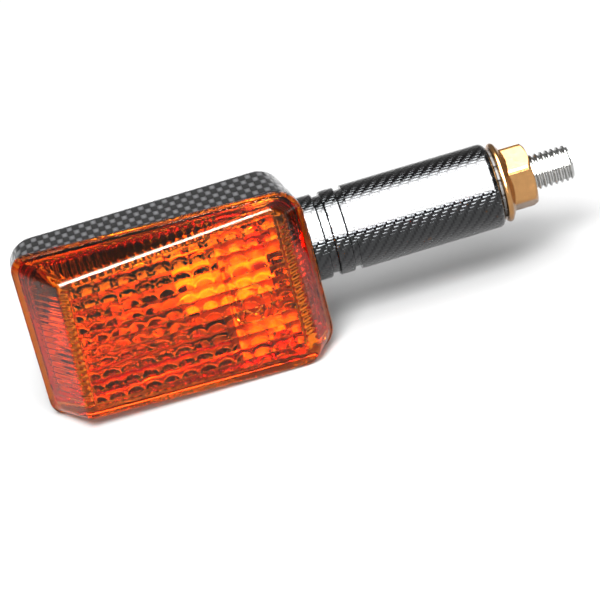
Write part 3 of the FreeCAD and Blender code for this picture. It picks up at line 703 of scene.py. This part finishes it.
STALK_TOW = 2 * math.pi * STALK_R / 27 / 4    # 27 repeats of four tows round the stalk
HOUSING_TOW = 1.35
BLACK = rgb(0.004, 0.004, 0.005)
MATERIALS = {
    "amber_lens": amber(),
    "black_rubber": plastic("black_rubber", rgb(0.012, 0.012, 0.012), 0.6, 0.02),
    "zinc_steel": metal("zinc_steel", rgb(0.46, 0.46, 0.45), 0.16),
    "yellow_zinc": metal("yellow_zinc", rgb(0.42, 0.22, 0.085), 0.2, 0.08),
    "dark_steel": plastic("dark_steel", rgb(0.008, 0.008, 0.008), 0.7),
    "bright_sheet": metal("bright_sheet", rgb(0.42, 0.42, 0.41), 0.32),
    "screw_steel": metal("screw_steel", rgb(0.72, 0.72, 0.73), 0.3),
    # Painted shade: the reflector is given a near-black colour so that the inside of the lens looks shaded.
    "bright_reflector": metal("bright_reflector", rgb(0.045, 0.045, 0.046), 0.1, 0.02, 0.004),
    "socket_steel": metal("socket_steel", rgb(0.78, 0.75, 0.69), 0.32),
    "fibre_board": plastic("fibre_board", rgb(0.35, 0.16, 0.08), 0.7, 0.03),
    "brass": metal("brass", rgb(0.80, 0.60, 0.28), 0.28),
    "spring_steel": metal("spring_steel", rgb(0.5, 0.5, 0.5), 0.3),
    "bulb_glass": glass(),
    "nickel": metal("nickel", rgb(0.80, 0.77, 0.72), 0.22),
    "bulb_black": plastic("bulb_black", rgb(0.02, 0.02, 0.022), 0.2),
    "solder": metal("solder", rgb(0.62, 0.62, 0.62), 0.45),
    "tungsten": metal("tungsten", rgb(0.3, 0.29, 0.28), 0.5),
}
for part in frame["record"]["subparts"]:
    if part["material_slot"] in MATERIALS:
        paint(part["node"], MATERIALS[part["material_slot"]])
paint("lens_gasket", plastic("foam_gasket", rgb(0.08, 0.075, 0.07), 0.8, 0.03))
paint("stalk", carbon("carbon_stalk", round_stalk, cells=2, tow=STALK_TOW, stretch=1.35,
                      arch_mm=0.05, crown_mm=(0.04, 0.27),
                      greys=(BLACK, rgb(0.025, 0.026, 0.027)), roughness=(0.10, 0.20)))
# On the housing the warp's grey shades to black at its tows' sides and ends: a painted highlight dot on
# each tow.
paint("rear_housing", carbon("carbon_housing", over_housing, cells=1, tow=HOUSING_TOW, stretch=2.2,
                             arch_mm=0.08, crown_mm=(0.12, 0.05),
                             greys=(rgb(0.13, 0.13, 0.135), BLACK), roughness=(0.48, 0.12),
                             painted_light=painted_light_in_housing))


def place_piece(obj, body, node, slot):
    obj.data.materials.append(MATERIALS[slot])
    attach(obj, body)
    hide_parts(node)


place_piece(build_lens(), "lens", "lens", "amber_lens")
place_piece(build_stud(), "body", "mounting_stud", "zinc_steel")
place_piece(build_nut(), "nut", "mounting_nut", "yellow_zinc")
spring = build_spring()
place_piece(spring, "body", "contact_spring", "spring_steel")
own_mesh(spring)

# --- floor, light and camera -------------------------------------------------------------------------
FLOOR_Z = -21.1                 # mm, as is its half size
FLOOR_HALF = 1500.0
SOFTBOX = 40.0                  # brightness of the softbox
ROOM = 0.25                     # and of the room round it
SOFTBOX_RISE = (9, 14)          # degrees above the horizon in front over which it starts
SOFTBOX_FALL = (82, 116)        # and over which it ends, overhead and a little behind
SOFTBOX_SIDE = (0.3, 0.42)      # and the sideways part of the direction over which it ends on each side
KEY_PLACE = (-0.28, -0.72, 0.9)     # m, as are the other places and lengths below
KEY_AIM = (-0.045, 0.0, -0.02)
KEY_SIZE = 0.45
KEY_POWER = 120.0
CAMERA_YAW = math.radians(4.1)  # towards the outer end
CAMERA_RISE = math.radians(26.0)
CAMERA_ROLL = math.radians(14.8)
CAMERA_AWAY = 0.8
CAMERA_AIM = (-0.0461, -0.005, -0.0015)
CAMERA_DROP = 0.00906           # the picture's middle is this far below the aim
CAMERA_LENS = 219.84            # focal length in mm, on a 36 mm sensor


def build_floor():
    """A matt floor. It is dark, but lit so strongly that it shows white outside the shadow."""
    half = FLOOR_HALF
    verts = [(-half, -half, FLOOR_Z), (half, -half, FLOOR_Z), (half, half, FLOOR_Z), (-half, half, FLOOR_Z)]
    floor = mesh_object("floor", verts, [(0, 1, 2, 3)])
    m = new_material("floor")
    m.set(Base_Color=rgb(0.07, 0.07, 0.07), Roughness=1.0)
    m.shader.inputs["Specular IOR Level"].default_value = 0.0
    floor.data.materials.append(m.owner)


def build_sky():
    """A bright curved softbox, from just above the horizon in front to overhead, in a dim room."""
    w = Nodes(bpy.data.worlds.new("studio"))
    bpy.context.scene.world = w.owner
    w.tree.nodes.clear()

    def ramp(value, span, start, end):
        node = w.add("ShaderNodeMapRange", interpolation_type="SMOOTHSTEP")
        w.link(value, node.inputs[0])
        for socket, number in zip(node.inputs[1:5], (*span, start, end)):
            socket.default_value = number
        return node.outputs[0]

    parts = w.add("ShaderNodeSeparateXYZ")
    w.link(w.add("ShaderNodeTexCoord").outputs["Generated"], parts.inputs[0])
    ahead = w.math("MULTIPLY", parts.outputs["Y"], -1.0)
    angle = w.math("ARCTAN2", parts.outputs["Z"], ahead)
    aside = w.math("ABSOLUTE", parts.outputs["X"])
    rise = ramp(angle, [math.radians(a) for a in SOFTBOX_RISE], 0.0, 1.0)
    fall = ramp(angle, [math.radians(a) for a in SOFTBOX_FALL], 1.0, 0.0)
    box = w.math("MULTIPLY", w.math("MULTIPLY", rise, fall), ramp(aside, SOFTBOX_SIDE, 1.0, 0.0))
    light = w.math("ADD", w.math("MULTIPLY", box, SOFTBOX), ROOM)
    seen = w.add("ShaderNodeLightPath").outputs["Is Camera Ray"]
    unseen = w.math("SUBTRACT", 1.0, seen)
    background = w.add("ShaderNodeBackground")
    background.inputs["Color"].default_value = rgb(1, 1, 1)
    w.link(w.math("ADD", seen, w.math("MULTIPLY", unseen, light)), background.inputs["Strength"])
    w.link(background.outputs[0], w.add("ShaderNodeOutputWorld").inputs[0])


def build_key_light():
    data = bpy.data.lights.new("key", "AREA")
    data.shape = "RECTANGLE"
    data.size, data.size_y = KEY_SIZE, KEY_SIZE
    data.energy = KEY_POWER
    lamp = bpy.data.objects.new("key", data)
    place = Vector(KEY_PLACE)
    turn = (Vector(KEY_AIM) - place).to_track_quat("-Z", "Y")
    lamp.matrix_world = Matrix.Translation(place) @ turn.to_matrix().to_4x4()
    bpy.context.scene.collection.objects.link(lamp)


def build_camera():
    """Seen from above the lens, a little towards the outer end, and tilted in the picture."""
    yaw, rise, roll = CAMERA_YAW, CAMERA_RISE, CAMERA_ROLL
    back = Vector((-math.sin(yaw) * math.cos(rise), -math.cos(yaw) * math.cos(rise), math.sin(rise)))
    level = Vector((math.cos(yaw), -math.sin(yaw), 0.0))
    upright = Vector((math.sin(yaw) * math.sin(rise), math.cos(yaw) * math.sin(rise), math.cos(rise)))
    right = level * math.cos(roll) - upright * math.sin(roll)
    up = level * math.sin(roll) + upright * math.cos(roll)
    data = bpy.data.cameras.new("camera")
    data.sensor_width = 36.0
    data.lens = CAMERA_LENS
    data.clip_start, data.clip_end = 0.01, 20.0
    camera = bpy.data.objects.new("camera", data)
    camera.matrix_world = Matrix((right, up, back)).transposed().to_4x4()
    camera.location = Vector(CAMERA_AIM) - up * CAMERA_DROP + back * CAMERA_AWAY
    bpy.context.scene.collection.objects.link(camera)
    bpy.context.scene.camera = camera


build_floor()
build_sky()
build_key_light()
build_camera()
bpy.context.scene.view_settings.view_transform = "Standard"
